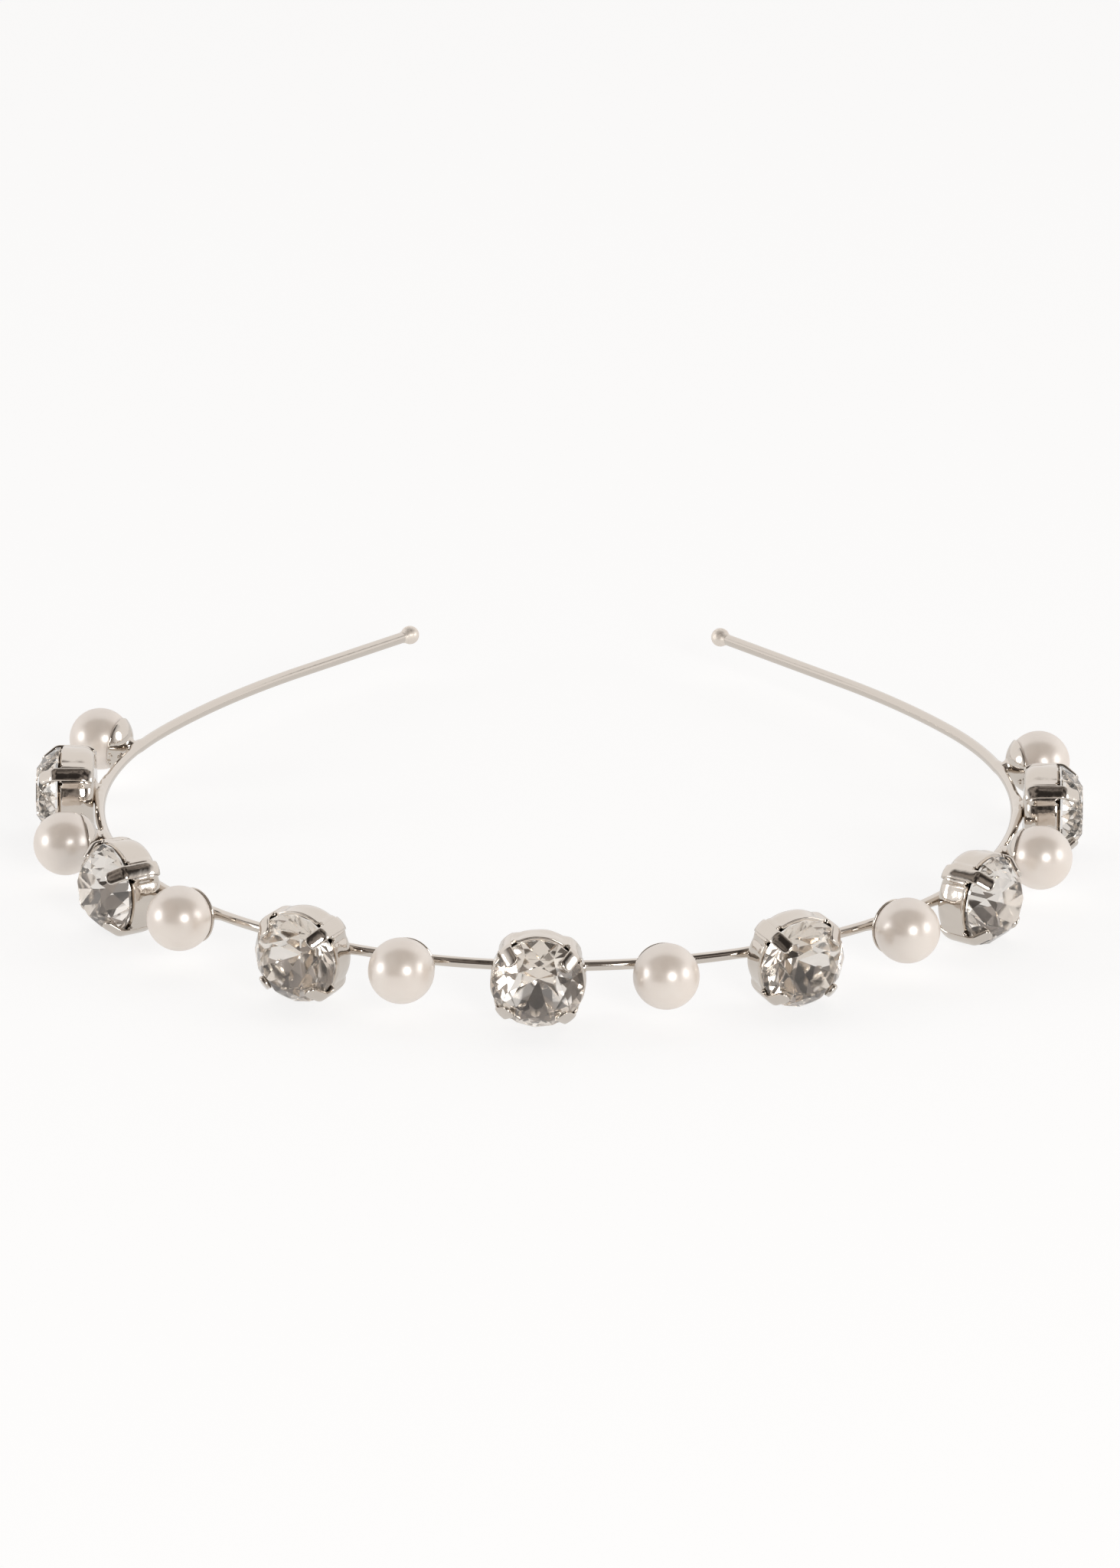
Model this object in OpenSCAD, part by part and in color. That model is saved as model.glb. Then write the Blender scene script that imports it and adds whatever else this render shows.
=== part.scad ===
// Pearl headband: a thin wire band for the head, with pearls and cut crystals
// set by turns along its front. It lies as it would on a table: the wire is level,
// the middle crystal faces -Y, the two tips point to +Y, and the lowest cups of the
// crystals touch the surface at z = 0. The origin is under the middle of the piece.

/* [Band] */
// Radius of the front bend of the wire
front_r = 60; // [55:1:66]
// Half angle of the front bend
front_angle = 47; // [40:1:50]
// Radius of the two side bends
side_r = 53; // [50:1:56]
// Angle of the right side bend
right_side_angle = 75; // [68:1:78]
// Angle of the left side bend
left_side_angle = 70; // [68:1:78]
// Radius of the two bends behind the ears
shoulder_r = 110; // [90:5:140]
// Angle of the bend behind the right ear
right_shoulder_angle = 12; // [8:1:16]
// Angle of the bend behind the left ear
left_shoulder_angle = 15; // [8:1:16]
// Straight end of the right leg
right_end = 24; // [15:1:30]
// Straight end of the left leg
left_end = 20; // [15:1:30]
// Thickness of the wire that carries the jewels
front_wire_d = 1.3; // [1:0.1:1.4]
// Thickness of the two bare legs
leg_wire_d = 1.5; // [1.3:0.1:1.6]
// Diameter of the balls on the tips
tip_ball_d = 2.5; // [2.2:0.1:3]

/* [Jewels] */
// Even distance from one jewel to the next along the wire
pitch = 14.9; // [14.5:0.1:15.2]
// Pearl diameter
pearl_d = 8; // [7.6:0.1:8.2]
// Crystal diameter, corner to corner of its sixteen-sided edge
crystal_d = 11.2; // [10.8:0.1:11.3]
// Width of the crystal's table, corner to corner
table_d = 6.5; // [6:0.1:7.2]
// Height of the crystal above its edge
crown_h = 2.6; // [2.3:0.05:2.9]
// Depth of the crystal below its edge
pavilion_h = 4; // [3.6:0.1:4.1]

/* [Settings] */
// Wall of a crystal's cup
cup_wall = 0.2; // [0.2:0.05:0.3]
// Distance from the middle of the wire to the back of a cup or dish
cup_back = 1; // [0.9:0.05:1.1]
// Distance from the middle of the wire to the rim of a cup
cup_rim = 5.1; // [5:0.05:5.3]
// How far the crystal's edge stands above the rim of its cup
crystal_lift = 0.4; // [0.2:0.05:0.5]
// How much narrower a cup is at its back than at its rim, as a radius
cup_taper = 0.5; // [0.3:0.05:0.6]
// Width of a prong
prong_w = 1.9; // [1.6:0.1:2.2]
// Thickness of a prong
prong_t = 0.46; // [0.36:0.02:0.5]
// How far from the crystal's axis a prong's tip reaches in
prong_tip_r = 4.2; // [3.9:0.1:4.5]
// Thickness of a pearl's dish
dish_wall = 0.25; // [0.2:0.05:0.35]
// Distance from the pearl's centre back to the rim of its dish
dish_rim = 2.5; // [2.2:0.1:3]

/* [Hidden] */
$fn = 96;
// Air between a stone or a pearl and the metal round it
GAP = 0.05;
// Air between a prong and the edge and the crown of its crystal
PRONG_GAP = 0.1;
// How far the rim of a cup stands out round the edge of its crystal
RIM_OUT = 0.15;
// Play at each joint between two bends of the wire
JOINT = 0.06;
// How deep a prong's root and the ends and sides of solder are sunk into other metal
SUNK = 0.1;
// Steps in each small rounded edge
EDGE_STEPS = 4;
// Columns of the table of jewels
KIND = 0;
SLIDE = 1;
ROLL = 2;
TILT = 3;
YAW = 4;
// The jewels from the left tip to the right one, set by hand: what it is, how far
// it slid along the wire from its even place, how far it turned on its own axis, how
// far its face was tipped down, and how far it was turned toward the back of the band
JEWELS = [
    ["pearl", -2.2, 0, -7, 0],
    ["crystal", -1, 3, 0, -4],
    ["pearl", 0.4, 0, 4, 0],
    ["crystal", 1.7, 7, -1, 0],
    ["pearl", -0.1, 0, -6, 0],
    ["crystal", 2, 1, 0, 0],
    ["pearl", -0.2, 0, -4, 0],
    ["crystal", 0.2, -4, 0, 0],
    ["pearl", -0.5, 0, -3, 0],
    ["crystal", 0.5, -2, 2, 0],
    ["pearl", 0.1, 0, -5, 0],
    ["crystal", -0.7, -3, 0, 0],
    ["pearl", -1, 0, 0, 0],
    ["crystal", -0.4, 2, 0, 0],
    ["pearl", -1, 0, -7, 0]
];
LAST = len(JEWELS) - 1;
MIDDLE = LAST / 2;
PEARLS = [for (k = [0:LAST]) if (JEWELS[k][KIND] == "pearl") k];
CRYSTALS = [for (k = [0:LAST]) if (JEWELS[k][KIND] == "crystal") k];

// Wire bends from the front to a tip, each with its radius and its angle
RIGHT = [[front_r, front_angle], [side_r, right_side_angle], [shoulder_r, right_shoulder_angle]];
LEFT = [[front_r, front_angle], [side_r, left_side_angle], [shoulder_r, left_shoulder_angle]];

// A crystal's cup
cup_r = crystal_d / 2 + RIM_OUT;
cup_edge_r = 0.6;
cup_floor = cup_back + cup_wall;
// A crystal: its edge is a low sixteen-sided band above the rim of the cup
edge_h = 0.3;
corners = 8;
half_corner = 180 / corners;
girdle_r = crystal_d / 2;
girdle_low = cup_rim + crystal_lift;
girdle_high = girdle_low + edge_h;
table_z = girdle_high + crown_h;
culet_z = girdle_low - pavilion_h;
crown_slope = crown_h / (girdle_r - table_d / 2);
crown_mid_r = 4.4;
pavilion_mid_r = 2.6;
// A pearl and its dish
dish_r = pearl_d / 2 + GAP + dish_wall;
pearl_out = cup_back + dish_r;
// The wire lies level, as high as the lowest point of the cups' rims needs it
wire_z = max([for (k = CRYSTALS) rim_drop(k)]);
// Solder round the wire, which ends inside the back wall of a cup or dish
solder_r = 1.15;
solder_h = cup_back + cup_wall * 3 / 4;
fillet_len = 2.2;

// The tips, and the middle of the whole piece from front to back
right_tip = walk(RIGHT, path_len(RIGHT, len(RIGHT)) + right_end);
left_tip = walk(LEFT, path_len(LEFT, len(LEFT)) + left_end);
back_y = max(right_tip.y, left_tip.y) + tip_ball_d / 2;
middle_y = (back_y - table_z) / 2;

function bend_len(bend) = bend[0] * bend[1] * PI / 180;

// Length of the first n bends
function path_len(bends, n) = n == 0 ? 0 : path_len(bends, n - 1) + bend_len(bends[n - 1]);

// Place and heading after a turn of radius r through an angle
function turn(p, r, angle) = [
    p.x + r * (sin(p.z + angle) - sin(p.z)),
    p.y + r * (cos(p.z) - cos(p.z + angle)),
    p.z + angle
];

// Place and heading of the wire at a distance along it from the front
function walk(bends, s, i = 0, p = [0, 0, 0]) =
    i >= len(bends) ? [p.x + s * cos(p.z), p.y + s * sin(p.z), p.z] :
    s <= bend_len(bends[i]) ? turn(p, bends[i][0], s / bends[i][0] * 180 / PI) :
    walk(bends, s - bend_len(bends[i]), i + 1, turn(p, bends[i][0], bends[i][1]));

// Distance of jewel k along the wire from the front, less than zero on the left
function station(k) = (k - MIDDLE) * pitch + JEWELS[k][SLIDE];

// How far the rim of crystal k's cup reaches below the wire
function rim_drop(k) = let (tilt = JEWELS[k][TILT])
    cup_r * cos(tilt) + cup_rim * cos(JEWELS[k][YAW]) * sin(tilt);

// Points spaced evenly on a circle round the axis
function ring(r, z, count, turned = 0) = [
    for (i = [0:count - 1])
        let (a = turned + i * 360 / count)
            [r * cos(a), r * sin(a), z]
];

// Height of the crown's eight main facets at a distance x from the axis
function crown_z(x) = girdle_high + (girdle_r - x) * crown_slope;

// The same for the eight main facets of its back
function pavilion_z(x) = culet_z + x * pavilion_h / girdle_r;

// Points on a small rounded edge
function edge_arc(centre, r, from, to) = [
    for (i = [0:EDGE_STEPS])
        let (a = from + (to - from) * i / EDGE_STEPS)
            centre + r * [cos(a), sin(a)]
];

// Mirrors its children to the left side where s is below zero
module on_side(s) {
    mirror([s < 0 ? 1 : 0, 0, 0]) children();
}

// Moves its children to the wire at distance s, with +X along the wire and +Y inward
module at_wire(bends, s) {
    p = walk(bends, s);
    translate([p.x, p.y, wire_z]) rotate([0, 0, p.z]) children();
}

// Moves its children to the wire behind jewel k, with +Z outward from it and +Y up
module at_station(k) {
    s = station(k);
    translate([0, -middle_y, 0]) on_side(s) at_wire(s < 0 ? LEFT : RIGHT, abs(s))
        rotate([90, 0, 0]) children();
}

// The same, turned as jewel k is
module at_jewel(k) {
    at_station(k) rotate([JEWELS[k][TILT], 0, 0]) rotate([0, JEWELS[k][YAW], 0])
        rotate([0, 0, JEWELS[k][ROLL]]) children();
}

// Wire of thickness d along the bends, from one distance to another. Each bend stops just
// short of the next, and a short sleeve that is barely thicker than the wire joins the two.
module wire(bends, from, to, d) {
    for (i = [0:len(bends) - 1]) {
        r = bends[i][0];
        start = max(from, path_len(bends, i));
        end = min(to, path_len(bends, i + 1));
        first = start > 0 ? start + JOINT : 0;
        if (end > start)
            at_wire(bends, first) translate([0, r, 0]) rotate([0, 0, -90])
                rotate_extrude(angle = (end - JOINT - first) / r * 180 / PI) translate([r, 0]) circle(d = d);
        if (end > start)
            at_wire(bends, end) rotate([0, 90, 0]) cylinder(d = d + JOINT, h = 4 * JOINT, center = true);
    }
}

// One half of the band's wire: the jewelled stretch, the bare leg and the ball on its tip
module wire_half(bends, last_s, end_len) {
    bent = path_len(bends, len(bends));
    wire(bends, 0, last_s, front_wire_d);
    wire(bends, last_s, bent, leg_wire_d);
    at_wire(bends, bent + JOINT) rotate([0, 90, 0]) cylinder(d = leg_wire_d, h = end_len - JOINT);
    at_wire(bends, bent + end_len) rotate([0, 90, 0]) sphere(d = tip_ball_d);
}

// Solder round the wire behind jewel k, tapered to both sides, and on to its setting
module solder(k) {
    for (side = [-1, 1]) at_station(k) rotate([0, 90 * side, 0])
        cylinder(r1 = solder_r, r2 = front_wire_d / 2 - SUNK, h = fillet_len);
    at_jewel(k) cylinder(r = solder_r - SUNK, h = solder_h);
}

// Strip that runs up the wall of a cup, bends over its rim and lies on the crystal's crown
module prong() {
    bend_r = girdle_r + PRONG_GAP;
    low = [cup_r - cup_taper - SUNK, cup_back + cup_edge_r];
    bend = [bend_r, crown_z(bend_r) + PRONG_GAP];
    lean = atan2(1, crown_slope);
    inward = [-sin(lean), cos(lean)];
    outward = [cos(lean), sin(lean)];
    tip = bend + inward * ((bend_r - prong_tip_r) / sin(lean) - prong_w / 2);
    translate([0, prong_w / 2, 0]) rotate([90, 0, 0]) linear_extrude(prong_w) polygon(concat(
        [tip, bend, low, low + [prong_t, 0]],
        edge_arc(bend, prong_t, 0, lean),
        [tip + prong_t * outward]
    ));
    translate([tip.x, 0, tip.y]) rotate([0, 90 - lean, 0]) cylinder(d = prong_w, h = prong_t);
}

// Stamped cup with a flat back, a rounded back edge and four prongs
module cup() {
    back_r = cup_r - cup_taper;
    edge = [back_r - cup_edge_r, cup_back + cup_edge_r];
    rotate_extrude() polygon(concat(
        [[0, cup_back]],
        edge_arc(edge, cup_edge_r, -90, 0),
        [[cup_r, cup_rim], [cup_r - cup_wall, cup_rim]],
        edge_arc(edge, cup_edge_r - cup_wall, 0, -90),
        [[0, cup_floor]]
    ));
    for (quarter = [0:3]) rotate([0, 0, 45 + 90 * quarter]) prong();
}

// Shallow bowl that a pearl is glued into
module dish() {
    difference() {
        sphere(r = dish_r);
        translate([0, 0, -dish_rim]) cylinder(r = 2 * dish_r, h = 2 * dish_r);
    }
}

// The metal, which is soldered into one piece: wire, tip balls, cups and dishes
module band() {
    color("silver") difference() {
        union() {
            translate([0, -middle_y, 0]) {
                wire_half(RIGHT, station(LAST), right_end);
                on_side(-1) wire_half(LEFT, -station(0), left_end);
            }
            for (k = CRYSTALS) at_jewel(k) cup();
            for (k = PEARLS) at_jewel(k) translate([0, 0, pearl_out]) dish();
            for (k = [0:LAST]) solder(k);
        }
        for (k = PEARLS) at_jewel(k) translate([0, 0, pearl_out]) sphere(d = pearl_d + 2 * GAP);
    }
}

// Facets of a crystal, which name its points: rings T round the table, M between the kites,
// G and H above and below the edge, P on the back, and last the back's tip
function crystal_facets(n) = let (M = n, G = 2 * n, H = 4 * n, P = 6 * n, tip = 7 * n) concat(
    [[for (i = [n - 1:-1:0]) i]],
    [for (i = [0:n - 1]) [i, (i + 1) % n, M + i]],
    [for (i = [0:n - 1]) [i, M + i, G + 2 * i, M + (i + n - 1) % n]],
    [for (i = [0:n - 1]) [M + i, G + 2 * i + 1, G + 2 * i]],
    [for (i = [0:n - 1]) [M + i, G + (2 * i + 2) % (2 * n), G + 2 * i + 1]],
    [for (j = [0:2 * n - 1]) [H + j, G + j, G + (j + 1) % (2 * n), H + (j + 1) % (2 * n)]],
    [for (i = [0:n - 1]) [P + i, H + 2 * i, H + 2 * i + 1]],
    [for (i = [0:n - 1]) [P + i, H + 2 * i + 1, H + (2 * i + 2) % (2 * n)]],
    [for (i = [0:n - 1]) [tip, P + (i + n - 1) % n, H + 2 * i, P + i]]
);

// Round crystal with an eight-cornered table, eight kites, star and edge facets, and a pointed back
module crystal(k) {
    color("gainsboro") at_jewel(k) polyhedron(
        points = concat(
            ring(table_d / 2, table_z, corners),
            ring(crown_mid_r, crown_z(crown_mid_r * cos(half_corner)), corners, half_corner),
            ring(girdle_r, girdle_high, 2 * corners),
            ring(girdle_r, girdle_low, 2 * corners),
            ring(pavilion_mid_r, pavilion_z(pavilion_mid_r * cos(half_corner)), corners, half_corner),
            [[0, 0, culet_z]]
        ),
        faces = crystal_facets(corners)
    );
}

module pearl(k) {
    color("linen") at_jewel(k) translate([0, 0, pearl_out]) sphere(d = pearl_d);
}

band();
for (i = [1:len(CRYSTALS)]) crystal(CRYSTALS[i - 1]);
for (i = [1:len(PEARLS)]) pearl(PEARLS[i - 1]);
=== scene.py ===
# %% [markdown]
# # A pearl headband, dressed for its picture
#
# The real thing is a thin plated wire with seven cut crystals and eight imitation pearls
# soldered along its front. Its construction is already packed as a CAD model. This lesson
# loads that model as a fixed frame and builds every visible surface round it: the drawn
# wire, the stamped cups, the solder, the foiled glass and the pearl lacquer.
# The headband's lengths are written in millimetres, and the value MM turns them into
# Blender's metres. Only the table and the lamps are given in metres.

# %% Load the frame
import math
import bmesh
import bpy
import numpy as np
from mathutils import Matrix, Vector, noise


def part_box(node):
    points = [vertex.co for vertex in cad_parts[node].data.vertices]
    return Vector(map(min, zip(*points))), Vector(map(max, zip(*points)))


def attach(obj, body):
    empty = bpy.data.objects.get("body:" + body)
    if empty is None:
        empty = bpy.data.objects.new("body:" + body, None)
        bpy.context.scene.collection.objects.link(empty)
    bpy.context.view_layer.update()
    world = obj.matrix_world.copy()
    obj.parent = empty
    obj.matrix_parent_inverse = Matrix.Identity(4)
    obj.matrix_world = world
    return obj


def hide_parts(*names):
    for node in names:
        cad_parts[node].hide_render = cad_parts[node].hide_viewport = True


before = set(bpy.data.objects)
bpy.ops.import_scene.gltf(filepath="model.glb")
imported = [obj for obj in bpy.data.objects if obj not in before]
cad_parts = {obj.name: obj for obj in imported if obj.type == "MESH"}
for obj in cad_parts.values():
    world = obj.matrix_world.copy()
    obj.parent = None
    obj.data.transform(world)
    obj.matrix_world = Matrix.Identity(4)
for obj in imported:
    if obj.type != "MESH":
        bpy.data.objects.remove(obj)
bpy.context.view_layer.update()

# %% [markdown]
# ## The path of the wire
#
# The wire was bent over formers: one wide bend in front, a tighter one on each side and a
# slack one behind each ear. A curve object could follow hand-placed points, but the real
# wire is a run of arcs, so a short function walks along arcs. It gives the place and the
# heading at any distance from the middle, which is all that the jewels need as well. The
# face of the middle stone in the frame tells how far in front of the origin the wire runs.

# %% The bends, from the middle to each tip
MM = 0.001
RIGHT, LEFT = 1, -1
# Radius in mm and angle in degrees of each bend
BENDS = {
    RIGHT: [(60, 47), (53, 75), (110, 12)],
    LEFT: [(60, 47), (53, 70), (110, 15)],
}
STRAIGHT_END = {RIGHT: 24, LEFT: 20}
# From the wire's middle to the face of a stone
TABLE_Z = 8.4
wire_front = -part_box("crystal_4")[0].y / MM - TABLE_Z


def wire_length(side):
    return sum(radius * math.radians(angle) for radius, angle in BENDS[side]) + STRAIGHT_END[side]


def walk(distance):
    """Place and heading of the wire's middle, at a distance that is negative on the left."""
    side = RIGHT if distance >= 0 else LEFT
    rest = abs(distance)
    x, y, heading = 0.0, 0.0, 0.0
    for radius, angle in BENDS[side]:
        step = min(rest, radius * math.radians(angle))
        next_heading = heading + step / radius
        x += radius * (math.sin(next_heading) - math.sin(heading))
        y += radius * (math.cos(heading) - math.cos(next_heading))
        heading = next_heading
        rest -= step
    x += rest * math.cos(heading)
    y += rest * math.sin(heading)
    return side * x, y - wire_front, side * heading


for side, word in ((LEFT, "left"), (RIGHT, "right")):
    print("wire:", round(wire_length(side), 1), "mm to the", word)

# %% [markdown]
# ## The fifteen jewels
#
# They were set by hand, so none sits exactly on its even place or faces exactly outward.
# Even places alone would be quicker, but the slips show in the picture. So a table repeats
# them: along the wire, on the jewel's own axis, face down, and toward the back of the band.

# %% The slips of the jewels
PITCH = 14.9
# Kind, slip along the wire in mm, and roll, tilt and yaw in degrees, from left to right
JEWELS = [
    ("pearl", -2.2, 0, -7, 0),
    ("crystal", -1, 3, 0, -4),
    ("pearl", 0.4, 0, 4, 0),
    ("crystal", 1.7, 7, -1, 0),
    ("pearl", -0.1, 0, -6, 0),
    ("crystal", 2, 1, 0, 0),
    ("pearl", -0.2, 0, -4, 0),
    ("crystal", 0.2, -4, 0, 0),
    ("pearl", -0.5, 0, -3, 0),
    ("crystal", 0.5, -2, 2, 0),
    ("pearl", 0.1, 0, -5, 0),
    ("crystal", -0.7, -3, 0, 0),
    ("pearl", -1, 0, 0, 0),
    ("crystal", -0.4, 2, 0, 0),
    ("pearl", -1, 0, -7, 0),
]


def station(index):
    """Distance of a jewel from the middle, along the wire."""
    return (index - (len(JEWELS) - 1) / 2) * PITCH + JEWELS[index][1]


print("jewels from", round(station(0), 1), "to", round(station(len(JEWELS) - 1), 1), "mm along the wire")

# %% [markdown]
# The band lies on its cups, because they are its widest pieces. So the wire runs at the
# height of the cup whose rim reaches farthest below it.

# %% The height of the wire
CUP_R = 5.75
CUP_RIM = 5.1


def rim_drop(tilt, yaw):
    """How far the rim of a cup reaches below the wire."""
    tilt, yaw = math.radians(tilt), math.radians(yaw)
    return CUP_R * math.cos(tilt) + CUP_RIM * math.cos(yaw) * math.sin(tilt)


WIRE_Z = max(rim_drop(tilt, yaw) for kind, _, _, tilt, yaw in JEWELS if kind == "crystal")
print("the wire runs", round(WIRE_Z, 2), "mm above the table")

# %% [markdown]
# Each jewel gets a matrix: its own +Z points outward from the wire and its own +Y points
# up. A piece can then be drawn round its own axis and put in place in one step.

# %% Where each jewel sits
# From the wire's middle to the centre of a pearl
PEARL_OUT = 5.3


def wire_matrix(distance):
    x, y, heading = walk(distance)
    turn = Matrix.Rotation(heading, 4, "Z") @ Matrix.Rotation(math.pi / 2, 4, "X")
    return Matrix.Translation((x, y, WIRE_Z)) @ turn


def jewel_matrix(index):
    roll, tilt, yaw = JEWELS[index][2:]
    side = RIGHT if station(index) >= 0 else LEFT
    turn = Matrix.Rotation(math.radians(tilt), 4, "X")
    turn = turn @ Matrix.Rotation(math.radians(side * yaw), 4, "Y")
    return wire_matrix(station(index)) @ turn @ Matrix.Rotation(math.radians(side * roll), 4, "Z")


def pearl_matrix(index):
    """Place of a pearl's centre."""
    return jewel_matrix(index) @ Matrix.Translation((0, 0, PEARL_OUT))


seats = {"pearl": [], "crystal": []}
for index, (kind, *_) in enumerate(JEWELS):
    seats[kind].append((f"{kind}_{len(seats[kind]) + 1}", index))
misfit = 0
for name, index in seats["pearl"]:
    low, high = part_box(name)
    misfit = max(misfit, ((low + high) / 2 / MM - pearl_matrix(index).translation).length)
print("pearls lie within", round(misfit, 4), "mm of the CAD ones")

# %% [markdown]
# ## Helpers for surfaces
#
# Most pieces here are rows of points joined by faces: a wire is a row of rings, and so is a
# stamped cup. Modifiers could do part of this work, but plain rings keep every bump of the
# stamping where it is wanted. A piece may hold several such rows, as a cup with its prongs.

# %% Rings to faces


def skin(rings):
    """Faces between rings of equally many points, with a cap over each end."""
    count = len(rings[0])
    faces = []
    for row in range(len(rings) - 1):
        low, high = row * count, (row + 1) * count
        for i in range(count):
            j = (i + 1) % count
            faces.append((low + i, low + j, high + j, high + i))
    last = (len(rings) - 1) * count
    return faces + [tuple(reversed(range(count))), tuple(range(last, last + count))]


def joined(shells):
    """One list of points and one of faces from several sets of rings."""
    points, faces = [], []
    for rings in shells:
        base = len(points)
        points += sum(rings, [])
        faces += [tuple(base + i for i in face) for face in skin(rings)]
    return points, faces


square_bar = [[(x, y, z) for x, y in ((0, 0), (1, 0), (1, 1), (0, 1))] for z in (0, 1)]
print("two rings of four points make", len(skin(square_bar)), "faces")

# %% [markdown]
# Points and faces become an object that rides on the band and stands for a CAD node. Its
# faces are all turned outward first, because glass and bumps need to know which side is out.

# %% Faces to a piece


def turn_outward(mesh):
    """Turns all faces of a closed mesh outward."""
    shell = bmesh.new()
    shell.from_mesh(mesh)
    bmesh.ops.recalc_face_normals(shell, faces=shell.faces)
    shell.to_mesh(mesh)
    shell.free()


def piece(name, points, faces, materials, slot, stands_for, place=Matrix.Identity(4)):
    """Adds a mesh given in millimetres, puts it in place and ties it to the frame."""
    mesh = bpy.data.meshes.new(name)
    mesh.from_pydata([(place @ Vector(p)) * MM for p in points], [], faces)
    turn_outward(mesh)
    for material in materials:
        mesh.materials.append(material)
    mesh.shade_smooth()
    made = bpy.data.objects.new(name, mesh)
    bpy.context.scene.collection.objects.link(made)
    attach(made, "root")
    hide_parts(stands_for)
    return made


print("pieces ride on the body root")

# %% [markdown]
# ## Materials
#
# Each finish below starts from what the real one is. Colours are the hex values that one
# reads from a picture, so a single function turns them into the linear values that a
# shader works with, and a single function adds a node with its settings and links.

# %% Colours and nodes
SRGB_TOE_END = 0.04045
SRGB_TOE_SLOPE = 12.92
SRGB_OFFSET = 0.055
SRGB_POWER = 2.4


def linear(code):
    """A linear colour with alpha from an sRGB hex value."""
    values = [int(code[i : i + 2], 16) / 255 for i in (1, 3, 5)]
    return [
        v / SRGB_TOE_SLOPE if v <= SRGB_TOE_END else ((v + SRGB_OFFSET) / (1 + SRGB_OFFSET)) ** SRGB_POWER
        for v in values
    ] + [1]


def add(tree, kind, settings=(), **links):
    """Adds a node. Settings name its properties or sockets, and so do links, as _1 for socket 1."""
    made = tree.nodes.new(kind)
    for key, value in dict(settings).items():
        if isinstance(key, str) and key in made.bl_rna.properties:
            setattr(made, key, value)
        else:
            made.inputs[key].default_value = value
    for key, source in links.items():
        socket = made.inputs[int(key[1:])] if key[1:].isdigit() else made.inputs[key.replace("_", " ")]
        tree.links.new(source, socket)
    return made


def new_material(name):
    """A material, with its node tree and its Principled shader."""
    made = bpy.data.materials.new(name)
    made.use_nodes = True
    return made, made.node_tree, made.node_tree.nodes["Principled BSDF"]


print("a picture's middle grey is", round(linear("#808080")[0], 3), "in linear light")

# %% [markdown]
# ### Rhodium-coloured plating
#
# The wire, cups and dishes are brass, tumbled bright and then plated. A plated layer is a
# mirror with a slight warm grey, so metallic is 1 and the roughness is low. What makes it
# look real is unevenness: drawing lines a few hundredths of a millimetre apart are too fine
# to show, so they are drawn 0.2 to 0.3 mm apart, and larger soft dents come from the stamp.
# Both could be painted by hand, but noise gives them at a chosen size on every piece.
# The cast tip balls keep the frosted skin of their mould, and tin is duller than plated brass.

# %% How plating is built
METAL_GREY = "#D6CEC5"
FROSTED_GREY = "#EAE2D9"
DENT_NOISE = {"Detail": 2.0, "Roughness": 0.4}
DENT_HEIGHT = 0.1
LINE_NOISE = {"Detail": 3.0, "Roughness": 0.55}
LINE_HEIGHT = 0.02
LINE_STRENGTH = 0.08
NOISE_LOW, NOISE_HIGH = 0.3, 0.7
BRIGHT, WORN = 0.7, 1.5


def plating(name, grey, roughness, line_mm, dent_mm, dent_strength):
    made, tree, shader = new_material(name)
    place = add(tree, "ShaderNodeTexCoord").outputs["Object"]
    dents = add(tree, "ShaderNodeTexNoise", {"Scale": 1 / (dent_mm * MM), **DENT_NOISE}, Vector=place)
    lines = add(tree, "ShaderNodeTexNoise", {"Scale": 1 / (line_mm * MM), **LINE_NOISE}, Vector=place)
    broad = add(
        tree,
        "ShaderNodeBump",
        {"Strength": dent_strength, "Distance": DENT_HEIGHT * MM},
        Height=dents.outputs[0],
    )
    fine = add(
        tree,
        "ShaderNodeBump",
        {"Strength": LINE_STRENGTH, "Distance": LINE_HEIGHT * MM},
        Height=lines.outputs[0],
        Normal=broad.outputs[0],
    )
    dull = add(
        tree,
        "ShaderNodeMapRange",
        {
            "From Min": NOISE_LOW,
            "From Max": NOISE_HIGH,
            "To Min": roughness * BRIGHT,
            "To Max": roughness * WORN,
        },
        Value=lines.outputs[0],
    )
    shader.inputs["Base Color"].default_value = linear(grey)
    shader.inputs["Metallic"].default_value = 1
    tree.links.new(dull.outputs[0], shader.inputs["Roughness"])
    tree.links.new(fine.outputs[0], shader.inputs["Normal"])
    return made


# %% The four plated finishes
# Grey, roughness, spacing of the lines and of the dents in mm, and strength of the dents
FINISHES = {
    "rhodium_plated_brass": (METAL_GREY, 0.055, 0.3, 1.7, 0.3),
    "rhodium_plated_stampings": (METAL_GREY, 0.075, 0.22, 1.3, 0.42),
    "rhodium_plated_casting": (FROSTED_GREY, 0.5, 0.25, 0.9, 0.3),
    "plated_tin_solder": (METAL_GREY, 0.14, 0.2, 0.7, 0.3),
}
plated_brass, stamped_brass, cast_brass, solder_tin = [plating(name, *FINISHES[name]) for name in FINISHES]
print("plated metals:", ", ".join(FINISHES))

# %% [markdown]
# ### Pearl lacquer
#
# An imitation pearl is a glass bead dipped in lacquer that is full of coated mica flakes.
# The flakes lie flat and bend light far more than glass does, so they give a broad soft
# white mirror over a warm body: a high index and a fair roughness, and hardly any metal.
# A clear coat over a plain body could do it too, but one layer with a high index is simpler.
# Dust in the dip leaves specks a tenth of a millimetre wide.

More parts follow.
